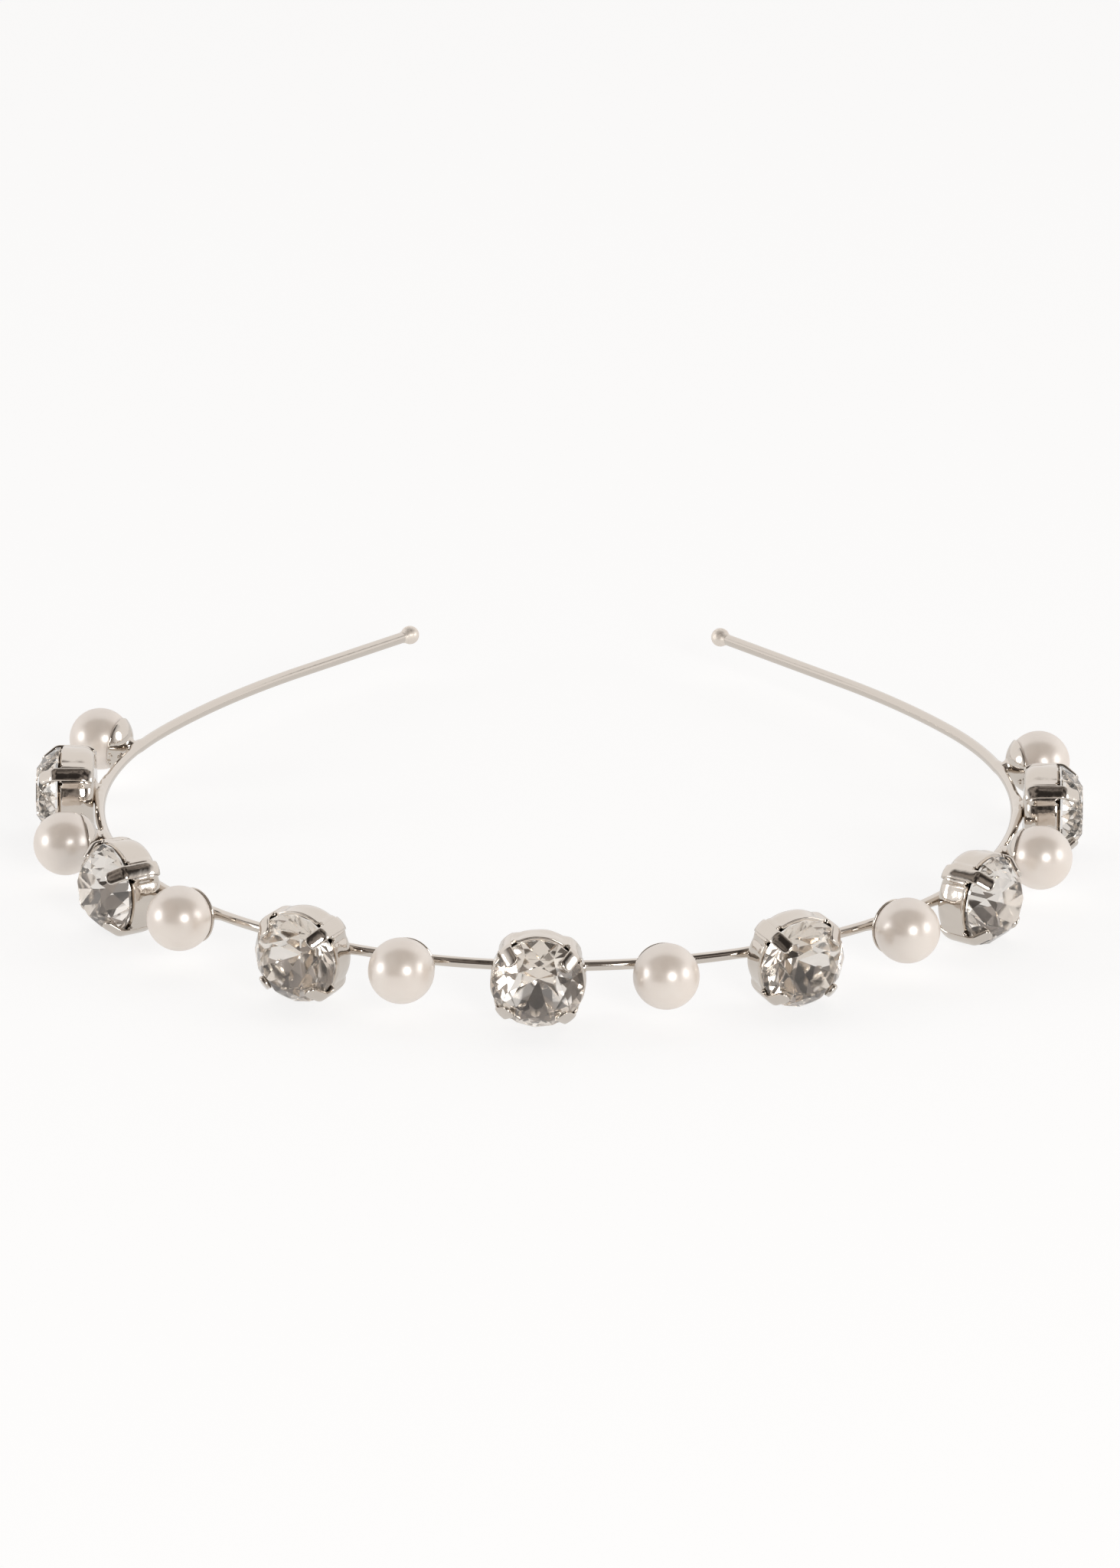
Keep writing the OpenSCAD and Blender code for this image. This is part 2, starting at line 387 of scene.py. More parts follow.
# %% The lacquer
PEARL_WHITE = "#EDE2D7"
PEARL_CREAM = "#E9DCD0"
CLOUD_MM = 3.5
CLOUD_LOW, CLOUD_HIGH = 0.35, 0.65
SKIN_HEIGHT = 0.05
SKIN_STRENGTH = 0.05
DUST_BROWN = "#9C8C7C"
DUST_SPACING_MM = 1.6
DUST_SIZE_MM = 0.09
DUST_STRENGTH = 0.35
FLAKE_IOR = 3
FLAKE_METALLIC = 0.05
LACQUER_ROUGHNESS = 0.3


def pearl_lacquer(name):
    made, tree, shader = new_material(name)
    place = add(tree, "ShaderNodeTexCoord").outputs["Object"]
    cloud = add(tree, "ShaderNodeTexNoise", {"Scale": 1 / (CLOUD_MM * MM), "Detail": 2.0}, Vector=place)
    tint = add(tree, "ShaderNodeValToRGB", Fac=cloud.outputs[0])
    cream, white = tint.color_ramp.elements
    cream.position, white.position = CLOUD_LOW, CLOUD_HIGH
    cream.color, white.color = linear(PEARL_CREAM), linear(PEARL_WHITE)
    dust = add(tree, "ShaderNodeTexVoronoi", {"Scale": 1 / (DUST_SPACING_MM * MM)}, Vector=place)
    speck = add(
        tree,
        "ShaderNodeMapRange",
        {"From Min": DUST_SIZE_MM / DUST_SPACING_MM, "From Max": 0, "To Min": 0, "To Max": DUST_STRENGTH},
        Value=dust.outputs["Distance"],
    )
    body = add(
        tree,
        "ShaderNodeMix",
        {"data_type": "RGBA", 7: linear(DUST_BROWN)},
        Factor=speck.outputs[0],
        _6=tint.outputs[0],
    )
    uneven = add(
        tree,
        "ShaderNodeBump",
        {"Strength": SKIN_STRENGTH, "Distance": SKIN_HEIGHT * MM},
        Height=cloud.outputs[0],
    )
    tree.links.new(body.outputs[2], shader.inputs["Base Color"])
    tree.links.new(uneven.outputs[0], shader.inputs["Normal"])
    shader.inputs["Metallic"].default_value = FLAKE_METALLIC
    shader.inputs["Roughness"].default_value = LACQUER_ROUGHNESS
    shader.inputs["IOR"].default_value = FLAKE_IOR
    return made


pearl_coat = pearl_lacquer("mica_pearl_lacquer")
print("pearls:", pearl_coat.name)

# %% [markdown]
# ### Foiled lead glass
#
# The stones are pressed and polished lead glass, and their pointed backs are silvered like
# a mirror. The foil could be a thin shell of its own, but it would touch the glass
# everywhere. So the glass is one closed body whose back facets wear a second material:
# light enters the crown, bounces between silvered facets and leaves again.

# %% The glass and its foil
GLASS_CLEAR = "#FFFFFF"
LEAD_GLASS_IOR = 1.56
FOIL_SILVER = "#F6F1EB"
FOIL_ROUGHNESS = 0.07


def lead_glass(name):
    made, _, shader = new_material(name)
    shader.inputs["Base Color"].default_value = linear(GLASS_CLEAR)
    shader.inputs["Transmission Weight"].default_value = 1
    shader.inputs["IOR"].default_value = LEAD_GLASS_IOR
    shader.inputs["Roughness"].default_value = 0
    return made


def silver_foil(name):
    made, _, shader = new_material(name)
    shader.inputs["Base Color"].default_value = linear(FOIL_SILVER)
    shader.inputs["Metallic"].default_value = 1
    shader.inputs["Roughness"].default_value = FOIL_ROUGHNESS
    return made


glass = lead_glass("polished_lead_glass")
foil = silver_foil("silvered_back")
print("stones:", glass.name, "and", foil.name)

# %% [markdown]
# ## The wire and its solder
#
# The wire is drawn brass: 1.3 mm thick where it carries the jewels, and 1.5 mm in the bare
# legs. Where a jewel was soldered on, the tin ran along the wire and left a lumpy swelling
# on its outer side. A swept curve would be perfectly even, so the wire is a row of rings
# with a radius of their own, and noise roughens only the soldered stretches.

# %% The wire's thickness along its length
FRONT_WIRE_R = 0.65
LEG_WIRE_R = 0.75
LEG_START = {RIGHT: station(len(JEWELS) - 1), LEFT: -station(0)}
LEG_BLEND = 1
SOLDER_REACH = {"pearl": 2.2, "crystal": 6.0}
SOLDER_H = {"pearl": 0.22, "crystal": 0.34}
# Share of the reach within which the solder is as thick as it gets
SOLDER_FULL = 2 / 7
LUMP_SHARE = 0.5
LUMPS_PER_MM = 0.8
LUMPS_ROUND = 0.9
# The solder starts and is whole where a point of the wire faces outward by these shares
OUTER_SIDE = (-9 / 13, 11 / 13)


def ramp(value, start, end):
    """A soft step from 0 at the start to 1 at the end."""
    t = min(max((value - start) / (end - start), 0), 1)
    return t * t * (3 - 2 * t)


def bare_radius(along):
    leg = LEG_START[RIGHT if along >= 0 else LEFT]
    share = ramp(abs(along), leg - LEG_BLEND, leg + LEG_BLEND)
    return FRONT_WIRE_R + (LEG_WIRE_R - FRONT_WIRE_R) * share


def solder_swell(along, turn):
    """Thickness of the solder at a distance along the wire and an angle round it."""
    swell = 0
    inward, up = math.cos(turn), math.sin(turn)
    lump = noise.noise(Vector((along * LUMPS_PER_MM, inward * LUMPS_ROUND, up * LUMPS_ROUND)))
    for index, (kind, *_) in enumerate(JEWELS):
        away, reach = abs(along - station(index)), SOLDER_REACH[kind]
        if away < reach:
            height = SOLDER_H[kind] * (1 + LUMP_SHARE * lump)
            swell = max(swell, height * ramp(away, reach, reach * SOLDER_FULL))
    return swell * ramp(-inward, *OUTER_SIDE)


print("wire:", 2 * bare_radius(0), "mm in front,", 2 * bare_radius(wire_length(RIGHT)), "mm at the tips")

# %% Build the wire
WIRE_SIDES = 32
WIRE_STEP = 0.35


def wire_ring(along):
    x, y, heading = walk(along)
    ring = []
    for turn in np.linspace(0, 2 * math.pi, WIRE_SIDES, endpoint=False):
        radius = bare_radius(along) + solder_swell(along, turn)
        inward = radius * math.cos(turn)
        up = radius * math.sin(turn)
        ring.append((x - math.sin(heading) * inward, y + math.cos(heading) * inward, WIRE_Z + up))
    return ring


whole_wire = wire_length(LEFT) + wire_length(RIGHT)
distances = np.linspace(-wire_length(LEFT), wire_length(RIGHT), round(whole_wire / WIRE_STEP))
wire_rings = [wire_ring(along) for along in distances]
wire = piece("wire", *joined([wire_rings]), [plated_brass], "metal", "band")
print("wire:", len(wire.data.polygons), "faces")

# %% [markdown]
# ## The balls on the tips
#
# Each end of the wire carries a small cast ball, so that it can't scratch. It is a sphere
# with a short neck. A sphere and a tube could be joined, but one profile turned round the
# wire's own axis gives both without a seam.

# %% Turn a profile round an axis


def turned(profile, sides, first=0):
    """Rings of (radius, height) points turned round the Z axis, from a first angle in degrees."""
    turns = [math.radians(first + 360 * i / sides) for i in range(sides)]
    return [[(r * math.cos(turn), r * math.sin(turn), z) for turn in turns] for r, z in profile]


def arc(centre, radius, start, end, steps):
    """Points on an arc between two angles in degrees."""
    angles = [math.radians(start + (end - start) * i / steps) for i in range(steps + 1)]
    return [(centre[0] + radius * math.cos(a), centre[1] + radius * math.sin(a)) for a in angles]


def between(start, end, shares):
    """Points on a straight line, at shares of its length."""
    return [(start[0] + (end[0] - start[0]) * t, start[1] + (end[1] - start[1]) * t) for t in shares]


print("a quarter circle in four steps:", len(arc((0, 0), 1, 0, 90, 4)), "points")

# %% Build the two tips
TIP_BALL_R = 1.25
# Radius beyond the wire's and distance behind the ball's middle
TIP_NECK = [(-0.03, 1.7), (0.03, 1.4), (0.13, 1.0)]
TIP_JOIN = 0.2
TIP_END = 89.5
TIP_STEPS = 24
TIP_SIDES = 48


def tip_profile():
    neck = [(LEG_WIRE_R + wider, -behind) for wider, behind in TIP_NECK]
    start = -math.degrees(math.acos((LEG_WIRE_R + TIP_JOIN) / TIP_BALL_R))
    return neck + arc((0, 0), TIP_BALL_R, start, TIP_END, TIP_STEPS)


for side, name in ((LEFT, "tip_left"), (RIGHT, "tip_right")):
    x, y, heading = walk(side * wire_length(side))
    outward = heading if side == RIGHT else heading + math.pi
    turn = Matrix.Rotation(outward, 4, "Z") @ Matrix.Rotation(math.pi / 2, 4, "Y")
    place = Matrix.Translation((x, y, WIRE_Z)) @ turn
    piece(name, *joined([turned(tip_profile(), TIP_SIDES)]), [cast_brass], "metal", "band", place)
print("tips: balls of", 2 * TIP_BALL_R, "mm")

# %% [markdown]
# ## The stamped cups
#
# A crystal sits in a cup stamped from thin sheet. Its wall is nearly a cylinder with a
# broad round towards the back: the lamps show only in that round, as in the picture. Its
# rim is rolled over, and a small ledge inside it holds the stone. A sheet with a thickness
# modifier would be as thick everywhere, so the outline is drawn whole, inside and outside.

# %% Outline of the wall
CUP_BACK = 1.0
CUP_WALL = 0.2
RIM_ROUND = CUP_WALL / 2
ROUND_IN = 1.25
ROUND_FORWARD = 1.9
ROUND_STEPS = 14
BARREL = 0.05
STRAIGHT_SHARES = np.linspace(0.12, 1, 9)


def wall_line():
    """The wall's outer side: a broad round from the flat back, then nearly straight to the rim."""
    start_r = CUP_R - BARREL - ROUND_IN
    line = []
    for i in range(ROUND_STEPS + 1):
        turn = math.radians(90 * i / ROUND_STEPS)
        forward = ROUND_FORWARD * (1 - math.cos(turn))
        line.append((start_r + ROUND_IN * math.sin(turn), CUP_BACK + forward))
    return line + between(line[-1], (CUP_R, CUP_RIM - RIM_ROUND), STRAIGHT_SHARES)


print("the round takes", ROUND_FORWARD, "of the wall's", round(CUP_RIM - CUP_BACK, 1), "mm")

# %% Outline of a whole cup
AXIS_R = 0.05
# Radius and height of the solder between the wire and the cup's back
CUP_NECK = [(AXIS_R, 0.1), (0.95, 0.15), (1.0, 0.5), (1.15, 0.78), (1.5, 0.95)]
BACK_RADII = (2, 3.2)
LEDGE_R = 5.43
LEDGE_H = 0.18
LEDGE_BEVEL = 0.1
LEDGE_DEPTH = 0.25
RIM_ANGLES = (20, 110)
RIM_STEPS = 5
INSIDE_EDGE = (4.65, 1.6)
INSIDE_EDGE_R = 0.4
INSIDE_STEPS = 4
INSIDE_BACK_RADII = (2.5, AXIS_R)


def cup_profile():
    """Points of (radius, height) from the wire over the outside and the rim to the inside."""
    back = [(r, CUP_BACK) for r in BACK_RADII]
    rim = arc((CUP_R - RIM_ROUND, CUP_RIM - RIM_ROUND), RIM_ROUND, *RIM_ANGLES, RIM_STEPS)
    ledge = [
        (LEDGE_R, CUP_RIM + LEDGE_H),
        (LEDGE_R - LEDGE_BEVEL, CUP_RIM + LEDGE_BEVEL),
        (CUP_R - CUP_WALL, CUP_RIM - LEDGE_DEPTH),
    ]
    inside = arc(INSIDE_EDGE, INSIDE_EDGE_R, 0, -90, INSIDE_STEPS)
    inside_back = [(r, CUP_BACK + CUP_WALL) for r in INSIDE_BACK_RADII]
    return CUP_NECK + back + wall_line() + rim + ledge + inside + inside_back


print("a cup's outline has", len(cup_profile()), "points")

# %% [markdown]
# Stamping leaves the wall slightly wavy and draws it outward beside the prongs, and the
# sheet is nicked there so that a prong folds without a crease. A bump in the material
# would not change the outline, so these waves and nicks move the points themselves.

# %% Waves, swells and nicks
PRONG_TURNS = [45, 135, 225, 315]
BULGE_HEIGHTS = (CUP_BACK, CUP_BACK + 1.1)
BULGE_RADII = (3, 5)
WAVE_H = 0.07
WAVES_ROUND = 3.2
WAVES_PER_MM = 0.55
SWELL_H = 0.3
SWELL_DEGREES = (18.5, 9.5)
NOTCH_AT = 12.2
NOTCH_WIDTH = 2.6
NOTCH_DEPTH = 0.3
NOTCH_HEIGHTS = (CUP_RIM - 1, CUP_RIM - 0.2)
NOTCH_RADII = (4.6, 5)


def near_prong(turn):
    """Distance in degrees from the nearest prong's middle."""
    return min(abs((turn - p + 180) % 360 - 180) for p in PRONG_TURNS)


def wall_bulge(turn, z, seed):
    """How far the wall stands out: soft waves from stamping, and the swell beside a prong."""
    angle = math.radians(turn)
    spot = Vector((
        WAVES_ROUND * math.cos(angle),
        WAVES_ROUND * math.sin(angle),
        WAVES_PER_MM * z + seed,
    ))
    swell = SWELL_H * ramp(near_prong(turn), *SWELL_DEGREES)
    return ramp(z, *BULGE_HEIGHTS) * (WAVE_H * noise.noise(spot) + swell)


def rim_notch(turn, z):
    """How far the sheet is nicked beside each prong."""
    beside = abs(near_prong(turn) - NOTCH_AT)
    return NOTCH_DEPTH * ramp(beside, NOTCH_WIDTH, 0) * ramp(z, *NOTCH_HEIGHTS)


print("the wall swells by", SWELL_H, "mm beside a prong and is nicked", NOTCH_DEPTH, "mm deep")

# %% Rings of a cup
CUP_SIDES = 320


def cup_rings(seed):
    rings = []
    for r, z in cup_profile():
        bulge_share = ramp(r, *BULGE_RADII)
        notch_share = ramp(r, *NOTCH_RADII)
        ring = []
        for i in range(CUP_SIDES):
            turn = 360 * i / CUP_SIDES
            out = r + wall_bulge(turn, z, seed) * bulge_share
            low = z - rim_notch(turn, z) * notch_share
            ring.append((out * math.cos(math.radians(turn)), out * math.sin(math.radians(turn)), low))
        rings.append(ring)
    return rings


print("a cup has", len(cup_profile()) * CUP_SIDES, "points without its prongs")

# %% [markdown]
# A prong is a strip of the sheet. It starts on the round of the back, climbs the wall,
# bends over the rim and lies on the stone. It is drawn as a row of rounded rectangles
# along that path, and the last ones shrink to give the blunt tip its corners.

# %% Path of a prong
GIRDLE_R = 5.6
GIRDLE_HIGH = 5.8
TABLE_R = 3.25
PRONG_T = 0.42
PRONG_GAP = 0.1
PRONG_SUNK = 0.1
PRONG_FOOT = 5
PRONG_BEND_R = 1.1
PRONG_BEND_STEPS = 8
PRONG_TIP_R = 4.2
CLIMB_SHARES = np.linspace(0.25, 1, 4)
TIP_SHARES = np.linspace(0.1, 1, 12)
crown_slope = (TABLE_Z - GIRDLE_HIGH) / (GIRDLE_R - TABLE_R)
crown_lean = math.atan2(1, crown_slope)
wall_lean = math.atan2(BARREL, CUP_RIM - CUP_BACK - ROUND_FORWARD)


def crown_z(r):
    """Height of the stone's crown at a radius."""
    return GIRDLE_HIGH + (GIRDLE_R - r) * crown_slope


def prong_path():
    """Middle line of the strip, as (radius, height) points from the back to the tip."""
    half = PRONG_T / 2
    foot = []
    line = wall_line()[PRONG_FOOT:-2]
    for (r0, z0), (r1, z1) in zip(line, line[1:]):
        off = (half - PRONG_SUNK) / math.hypot(r1 - r0, z1 - z0)
        foot.append((r0 + (z1 - z0) * off, z0 - (r1 - r0) * off))
    corner_r = CUP_R - PRONG_SUNK + half
    corner_z = crown_z(corner_r) + (half + PRONG_GAP) / math.sin(crown_lean)
    tangent = PRONG_BEND_R * math.tan((crown_lean + wall_lean) / 2)
    start = (corner_r - tangent * math.sin(wall_lean), corner_z - tangent * math.cos(wall_lean))
    middle = (start[0] - PRONG_BEND_R * math.cos(wall_lean), start[1] + PRONG_BEND_R * math.sin(wall_lean))
    bend_from, bend_to = -math.degrees(wall_lean), math.degrees(crown_lean)
    bend = arc(middle, PRONG_BEND_R, bend_from, bend_to, PRONG_BEND_STEPS)
    end_r, end_z = bend[-1]
    tip = (PRONG_TIP_R, end_z + (end_r - PRONG_TIP_R) * crown_slope)
    return foot + between(foot[-1], start, CLIMB_SHARES) + bend[1:] + between(bend[-1], tip, TIP_SHARES)


print("a prong folds by", round(math.degrees(crown_lean + wall_lean)), "degrees")

# %% Cross-section of a prong
PRONG_W = 1.9
PRONG_NARROWING = 0.2
PRONG_CORNER = 0.65
PRONG_EDGE = 0.15
PRONG_DOME = 0.13
EDGES_IN_SIZE = 2.01
EDGE_STEPS = 4
TIP_THINNING = 1.96
TOP_SHARES = (0.66, 0.33, 0, -0.33, -0.66)
# Sides of each corner of the strip, and the angle at which its rounding starts
CORNER_SIDES = ((1, 1, 0), (-1, 1, 90), (-1, -1, 180), (1, -1, 270))


def strip_size(along, total):
    """Width and thickness at a distance along the strip: its tip has round corners and edges."""
    width = PRONG_W - PRONG_NARROWING * along / total
    thick = PRONG_T
    left = total - along
    if left < PRONG_CORNER:
        width -= 2 * (PRONG_CORNER - math.sqrt(PRONG_CORNER**2 - (PRONG_CORNER - left) ** 2))
    if left < PRONG_EDGE:
        shrink = PRONG_EDGE - math.sqrt(max(PRONG_EDGE**2 - (PRONG_EDGE - left) ** 2, 0))
        width -= shrink
        thick -= TIP_THINNING * shrink
    return width, thick


def strip_section(width, thick):
    """A rounded rectangle, slightly domed on its outer side, as (across, outward) points."""
    edge = min(PRONG_EDGE, width / EDGES_IN_SIZE, thick / EDGES_IN_SIZE)
    dome = PRONG_DOME * width / PRONG_W
    loop = []
    for across, outward, start in CORNER_SIDES:
        centre = (across * (width / 2 - edge), outward * (thick / 2 - edge))
        loop += arc(centre, edge, start, start + 90, EDGE_STEPS)
        if start == 0:
            loop += [((width / 2 - edge) * share, thick / 2) for share in TOP_SHARES]
    return [(u, v + (dome * (1 - (2 * u / width) ** 2) if v > 0 else 0)) for u, v in loop]


print("a prong is", PRONG_W, "mm wide and has", len(strip_section(PRONG_W, PRONG_T)), "points round it")

# %% Rings of a prong
# Distances from the tip at which the strip gets its last rings
TIP_RINGS = (0.6, 0.5, 0.4, 0.3, 0.2, 0.13, 0.08, 0.04, 0.01, 0)
LOOK_AHEAD = 0.05


def prong_rings(turn):
    radii, heights = zip(*prong_path())
    steps = np.hypot(np.diff(radii), np.diff(heights))
    reach = [0] + list(np.cumsum(steps))
    total = reach[-1]

    def at(along):
        return np.interp(along, reach, radii), np.interp(along, reach, heights)

    spin = Matrix.Rotation(math.radians(turn), 4, "Z")
    ends = [total - back for back in TIP_RINGS]
    rings = []
    for along in [d for d in reach if d < ends[0] - LOOK_AHEAD] + ends:
        r, z = at(along)
        before, after = at(max(along - LOOK_AHEAD, 0)), at(min(along + LOOK_AHEAD, total))
        dr, dz = after[0] - before[0], after[1] - before[1]
        size = math.hypot(dr, dz)
        section = strip_section(*strip_size(along, total))
        rings.append([tuple(spin @ Vector((r + dz / size * v, u, z - dr / size * v))) for u, v in section])
    return rings


print("a prong has", len(prong_rings(0)), "rings")

# %% Build the seven cups
SEED_STEP = 3.7
for name, index in seats["crystal"]:
    shells = [cup_rings(index * SEED_STEP)] + [prong_rings(turn) for turn in PRONG_TURNS]
    cup_name = "cup_" + name[-1]
    cup = piece(cup_name, *joined(shells), [stamped_brass], "metal", "band", jewel_matrix(index))
print("each cup has", len(cup.data.polygons), "faces")

# %% [markdown]
# ## The dishes behind the pearls
#
# Each pearl is glued into a shallow pressed dish whose back is soldered to the wire. Only
# its rim and a thin crescent show. It could be cut from a hollow sphere, but turned round
# the pearl's own axis it gets a round lip and a neck of solder as well.

# %% Outline of a dish
DISH_WALL = 0.25
DISH_IN_R = 4.05
DISH_RIM = 2.5
# Radius and height over the wire of the solder between the wire and the dish's back
DISH_NECK = [(AXIS_R, 0), (0.75, 0.05), (0.85, 0.45), (1, 0.85)]
NECK_ANGLE = 17
AXIS_ANGLE = 1
DISH_RIM_STEPS = 8
DISH_OUTER_STEPS = 20
DISH_INNER_STEPS = 16


def bowl(radius, first_angle, last_angle, steps):
    """Points on a bowl round the pearl's centre, from one angle off its back to another."""
    return [(x, -y) for y, x in arc((0, 0), radius, first_angle, last_angle, steps)]


def dish_profile():
    rim_angle = math.degrees(math.acos(DISH_RIM / DISH_IN_R))
    lip = bowl(DISH_IN_R + DISH_WALL / 2, rim_angle, rim_angle, 1)[0]
    rim = arc(lip, DISH_WALL / 2, rim_angle - 90, rim_angle + 90, DISH_RIM_STEPS)
    neck = [(r, over - PEARL_OUT) for r, over in DISH_NECK]
    outside = bowl(DISH_IN_R + DISH_WALL, NECK_ANGLE, rim_angle, DISH_OUTER_STEPS)
    inside = bowl(DISH_IN_R, AXIS_ANGLE, rim_angle, DISH_INNER_STEPS)
    return neck + outside[:-1] + rim + inside[-2::-1]


print("a dish's outline has", len(dish_profile()), "points")

# %% Build the eight dishes
DISH_SIDES = 96
for name, index in seats["pearl"]:
    rings = turned(dish_profile(), DISH_SIDES)
    piece("dish_" + name[-1], *joined([rings]), [stamped_brass], "metal", "band", pearl_matrix(index))
print("dishes:", len(seats["pearl"]))

# %% [markdown]
# ## Beads of solder
#
# Tin that didn't flow stands in beads a few tenths of a millimetre wide. They show on the
# two end dishes, along the rim and where the wire meets it. They could be modelled one by
# one, but nobody counts them. So each bead is a small sphere with a third of it sunk into
# the dish, at a chance place in its cluster.

# %% The clusters
# Jewel, range of angles round the dish and off its back in degrees, and number of beads
BEAD_CLUSTERS = [
    (0, (-44, -4), (44, 53), 11),
    (0, (-30, -8), (22, 36), 5),
    (14, (200, 214), (30, 54), 7),
    (14, (186, 200), (46, 53), 4),
]
BEAD_SIZES = (0.1, 0.2)
BEAD_STANDS_OUT = 0.3
BEAD_SIDES, BEAD_ROWS = 14, 10
chance = np.random.default_rng(4)


def ball(radius, sides, rows):
    """Rings of a sphere."""
    steps = [math.pi * k / rows for k in range(1, rows)]
    return turned([(radius * math.sin(a), -radius * math.cos(a)) for a in steps], sides)


def solder_bead(rounds, backs):
    """Rings of one bead at a chance place within two ranges of angles."""
    turn = math.radians(chance.uniform(*rounds))
    back = math.radians(chance.uniform(*backs))
    radius = chance.uniform(*BEAD_SIZES)
    reach = DISH_IN_R + DISH_WALL + BEAD_STANDS_OUT * radius
    across = reach * math.sin(back)
    centre = Vector((across * math.cos(turn), across * math.sin(turn), -reach * math.cos(back)))
    return [[tuple(Vector(p) + centre) for p in ring] for ring in ball(radius, BEAD_SIDES, BEAD_ROWS)]


for index, rounds, backs, count in BEAD_CLUSTERS:
    shells = [solder_bead(rounds, backs) for _ in range(count)]
    beads_name = f"solder_beads_{index}_{count}"
    piece(beads_name, *joined(shells), [solder_tin], "metal", "band", pearl_matrix(index))
print("solder beads:", sum(count for _, _, _, count in BEAD_CLUSTERS))

# %% [markdown]
# ## The pearls
#
# They are plain round beads. Blender's own sphere would do, but the rings that made the
# solder beads are at hand, so each pearl is a finer set of them. All of the likeness is in
# the lacquer.

# %% Build the eight pearls
PEARL_R = 4
PEARL_SIDES, PEARL_ROWS = 96, 64
for name, index in seats["pearl"]:
    rings = ball(PEARL_R, PEARL_SIDES, PEARL_ROWS)
    piece("pearl_bead_" + name[-1], *joined([rings]), [pearl_coat], "pearl", name, pearl_matrix(index))
print("pearls:", len(seats["pearl"]))

# %% [markdown]
# ## The crystals
#
# A round stone of this kind has an eight-cornered table, eight star facets and eight kites,
# sixteen edge facets above the girdle, and a pointed back of sixteen edge facets and eight
# long kites. A stone could be cut with planes, as a cutter does it. But its facets meet on
# a few rings of corners, the same ones that the CAD model uses, so it is built from those.

# %% The corners of a stone
CORNERS = 8
CROWN_MID_R = 4.4
GIRDLE_LOW = 5.5
PAVILION_MID_R = 2.6
PAVILION_H = 4
culet_z = GIRDLE_LOW - PAVILION_H


def pavilion_z(r):
    """Height of the stone's back at a radius."""
    return culet_z + r * PAVILION_H / GIRDLE_R


def crystal_points():
    """The corners, ring by ring from the table to the point of the back."""
    inside = math.cos(math.pi / CORNERS)
    half = 180 / CORNERS
    # Radius, height, number of corners and first angle of each ring
    levels = [
        (TABLE_R, TABLE_Z, CORNERS, 0),
        (CROWN_MID_R, crown_z(CROWN_MID_R * inside), CORNERS, half),
        (GIRDLE_R, GIRDLE_HIGH, 2 * CORNERS, 0),
        (GIRDLE_R, GIRDLE_LOW, 2 * CORNERS, 0),
        (PAVILION_MID_R, pavilion_z(PAVILION_MID_R * inside), CORNERS, half),
    ]
    rings = [turned([(r, z)], count, first)[0] for r, z, count, first in levels]
    return sum(rings, []) + [(0, 0, culet_z)]


print("a stone has", len(crystal_points()), "corners")

# %% The facets of a stone


def crystal_facets():
    """The facets of clear glass, and the silvered ones of the back."""
    n = CORNERS
    mid, high, low, back, point = n, 2 * n, 4 * n, 6 * n, 7 * n
    table = [tuple(range(n))]
    stars = [(i, mid + i, (i + 1) % n) for i in range(n)]
    kites = [(i, mid + (i + n - 1) % n, high + 2 * i, mid + i) for i in range(n)]
    edges = [(mid + i, high + 2 * i, high + 2 * i + 1) for i in range(n)]
    edges += [(mid + i, high + 2 * i + 1, high + (2 * i + 2) % (2 * n)) for i in range(n)]
    girdle = [(low + j, low + (j + 1) % (2 * n), high + (j + 1) % (2 * n), high + j) for j in range(2 * n)]
    silvered = [(back + i, low + 2 * i + 1, low + 2 * i) for i in range(n)]
    silvered += [(back + i, low + (2 * i + 2) % (2 * n), low + 2 * i + 1) for i in range(n)]
    silvered += [(point, back + i, low + 2 * i, back + (i + n - 1) % n) for i in range(n)]
    return table + stars + kites + edges + girdle, silvered


print("facets: clear ones", len(crystal_facets()[0]), "and silvered ones", len(crystal_facets()[1]))

# %% Build the seven crystals
clear, silvered = crystal_facets()
for name, index in seats["crystal"]:
    stone_name = "stone_" + name[-1]
    facets = clear + silvered
    stone = piece(stone_name, crystal_points(), facets, [glass, foil], "crystal", name, jewel_matrix(index))
    for face in stone.data.polygons:
        face.use_smooth = False
        face.material_index = 1 if face.index >= len(clear) else 0
print("crystals:", len(seats["crystal"]))

# %% [markdown]
# ## The floor
#
# The band lies on a white table lit from below, as catalogue pictures are taken: the table
# glows a little, so that shadows nearly vanish and the metal reflects white from below.
# The picture shows the table brighter than the metal mirrors it, so the glow has a
# strength for the camera and a lower one for all else.

# %% The light table
FLOOR_HALF = 3.0
OPAL_GREY = "#949392"
OPAL_ROUGHNESS = 0.9
GLOW_WHITE = "#FFFFFF"
GLOW_SEEN = 0.76
GLOW_BESIDE = 0.62
floor_mesh = bpy.data.meshes.new("light_table")
floor_corners = [(x * FLOOR_HALF, y * FLOOR_HALF, 0) for x, y in ((-1, -1), (1, -1), (1, 1), (-1, 1))]
floor_mesh.from_pydata(floor_corners, [], [(0, 1, 2, 3)])
floor = bpy.data.objects.new("light_table", floor_mesh)
bpy.context.scene.collection.objects.link(floor)
opal, tree, shader = new_material("opal_acrylic")
shader.inputs["Base Color"].default_value = linear(OPAL_GREY)
shader.inputs["Roughness"].default_value = OPAL_ROUGHNESS
shader.inputs["Specular IOR Level"].default_value = 0
shader.inputs["Emission Color"].default_value = linear(GLOW_WHITE)
camera_ray = add(tree, "ShaderNodeLightPath").outputs["Is Camera Ray"]
glow = add(tree, "ShaderNodeMapRange", {"To Min": GLOW_BESIDE, "To Max": GLOW_SEEN}, Value=camera_ray)
tree.links.new(glow.outputs[0], shader.inputs["Emission Strength"])
floor_mesh.materials.append(opal)
